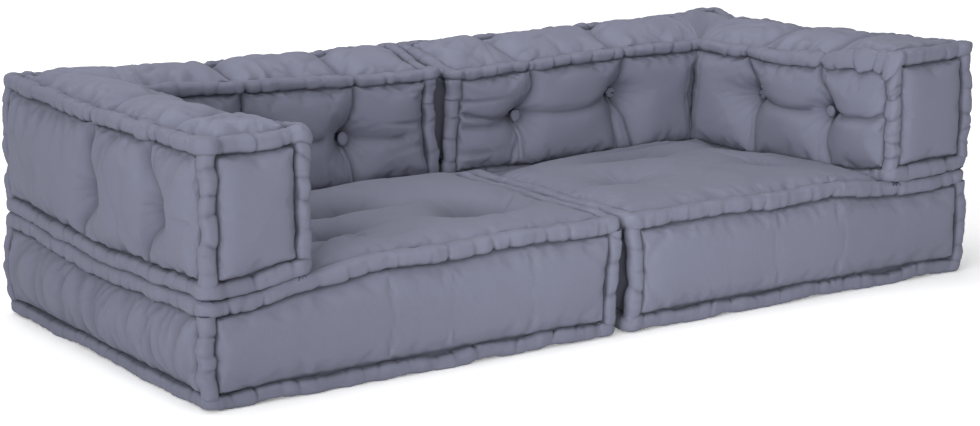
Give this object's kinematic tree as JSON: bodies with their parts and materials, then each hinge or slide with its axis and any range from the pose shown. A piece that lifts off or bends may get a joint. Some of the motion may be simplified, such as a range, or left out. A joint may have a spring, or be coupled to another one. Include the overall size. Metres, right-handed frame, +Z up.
{
  "type": "modular sofa",
  "caption": "Low modular floor sofa of mirrored box cushions with L-shaped tufted back and arm bolsters, stuffed rolled edges and covered buttons.",
  "frame": {"origin": "on the floor under the middle of the sofa's bounding box", "axes": "+X along the row of modules, the front faces -Y, +Z up"},
  "size_m": [1.386, 0.64, 0.36],
  "materials": {
    "cover": "matte slate-blue cotton",
    "edge_roll": "matte slate-blue cotton, stuffed",
    "button": "button covered in the same cotton",
    "twine": "waxed thread",
    "filling": "felted cotton filling"
  },
  "bodies": {
    "left_module": {"left_seat_filling": "filling", "left_seat_top_panel": "cover", "left_seat_bottom_panel": "cover", "left_seat_front_panel": "cover", "left_seat_rear_panel": "cover", "left_seat_outer_panel": "cover", "left_seat_inner_panel": "cover", "left_seat_bottom_roll": "edge_roll", "left_seat_top_roll": "edge_roll", "left_seat_corner_rolls": "edge_roll", "left_seat_buttons": "button", "left_seat_twines": "twine", "left_back_filling": "filling", "left_arm_filling": "filling", "left_bolster_top_panel": "cover", "left_bolster_bottom_panel": "cover", "left_back_rear_panel": "cover", "left_backrest_panel": "cover", "left_arm_outer_panel": "cover", "left_arm_inner_panel": "cover", "left_arm_front_panel": "cover", "left_back_end_panel": "cover", "left_bolster_bottom_roll": "edge_roll", "left_bolster_top_roll": "edge_roll", "left_bolster_corner_rolls": "edge_roll", "left_bolster_buttons": "button", "left_bolster_twines": "twine", "left_corner_lashings": "twine"},
    "right_module": {"right_seat_filling": "filling", "right_seat_top_panel": "cover", "right_seat_bottom_panel": "cover", "right_seat_front_panel": "cover", "right_seat_rear_panel": "cover", "right_seat_outer_panel": "cover", "right_seat_inner_panel": "cover", "right_seat_bottom_roll": "edge_roll", "right_seat_top_roll": "edge_roll", "right_seat_corner_rolls": "edge_roll", "right_seat_buttons": "button", "right_seat_twines": "twine", "right_back_filling": "filling", "right_arm_filling": "filling", "right_bolster_top_panel": "cover", "right_bolster_bottom_panel": "cover", "right_back_rear_panel": "cover", "right_backrest_panel": "cover", "right_arm_outer_panel": "cover", "right_arm_inner_panel": "cover", "right_arm_front_panel": "cover", "right_back_end_panel": "cover", "right_bolster_bottom_roll": "edge_roll", "right_bolster_top_roll": "edge_roll", "right_bolster_corner_rolls": "edge_roll", "right_bolster_buttons": "button", "right_bolster_twines": "twine", "right_corner_lashings": "twine"}
  },
  "joints": [
    {"name": "modules_apart", "type": "slide", "parent": "left_module", "child": "right_module", "axis": [1, 0, 0], "range_m": [0, 0.5]}
  ]
}
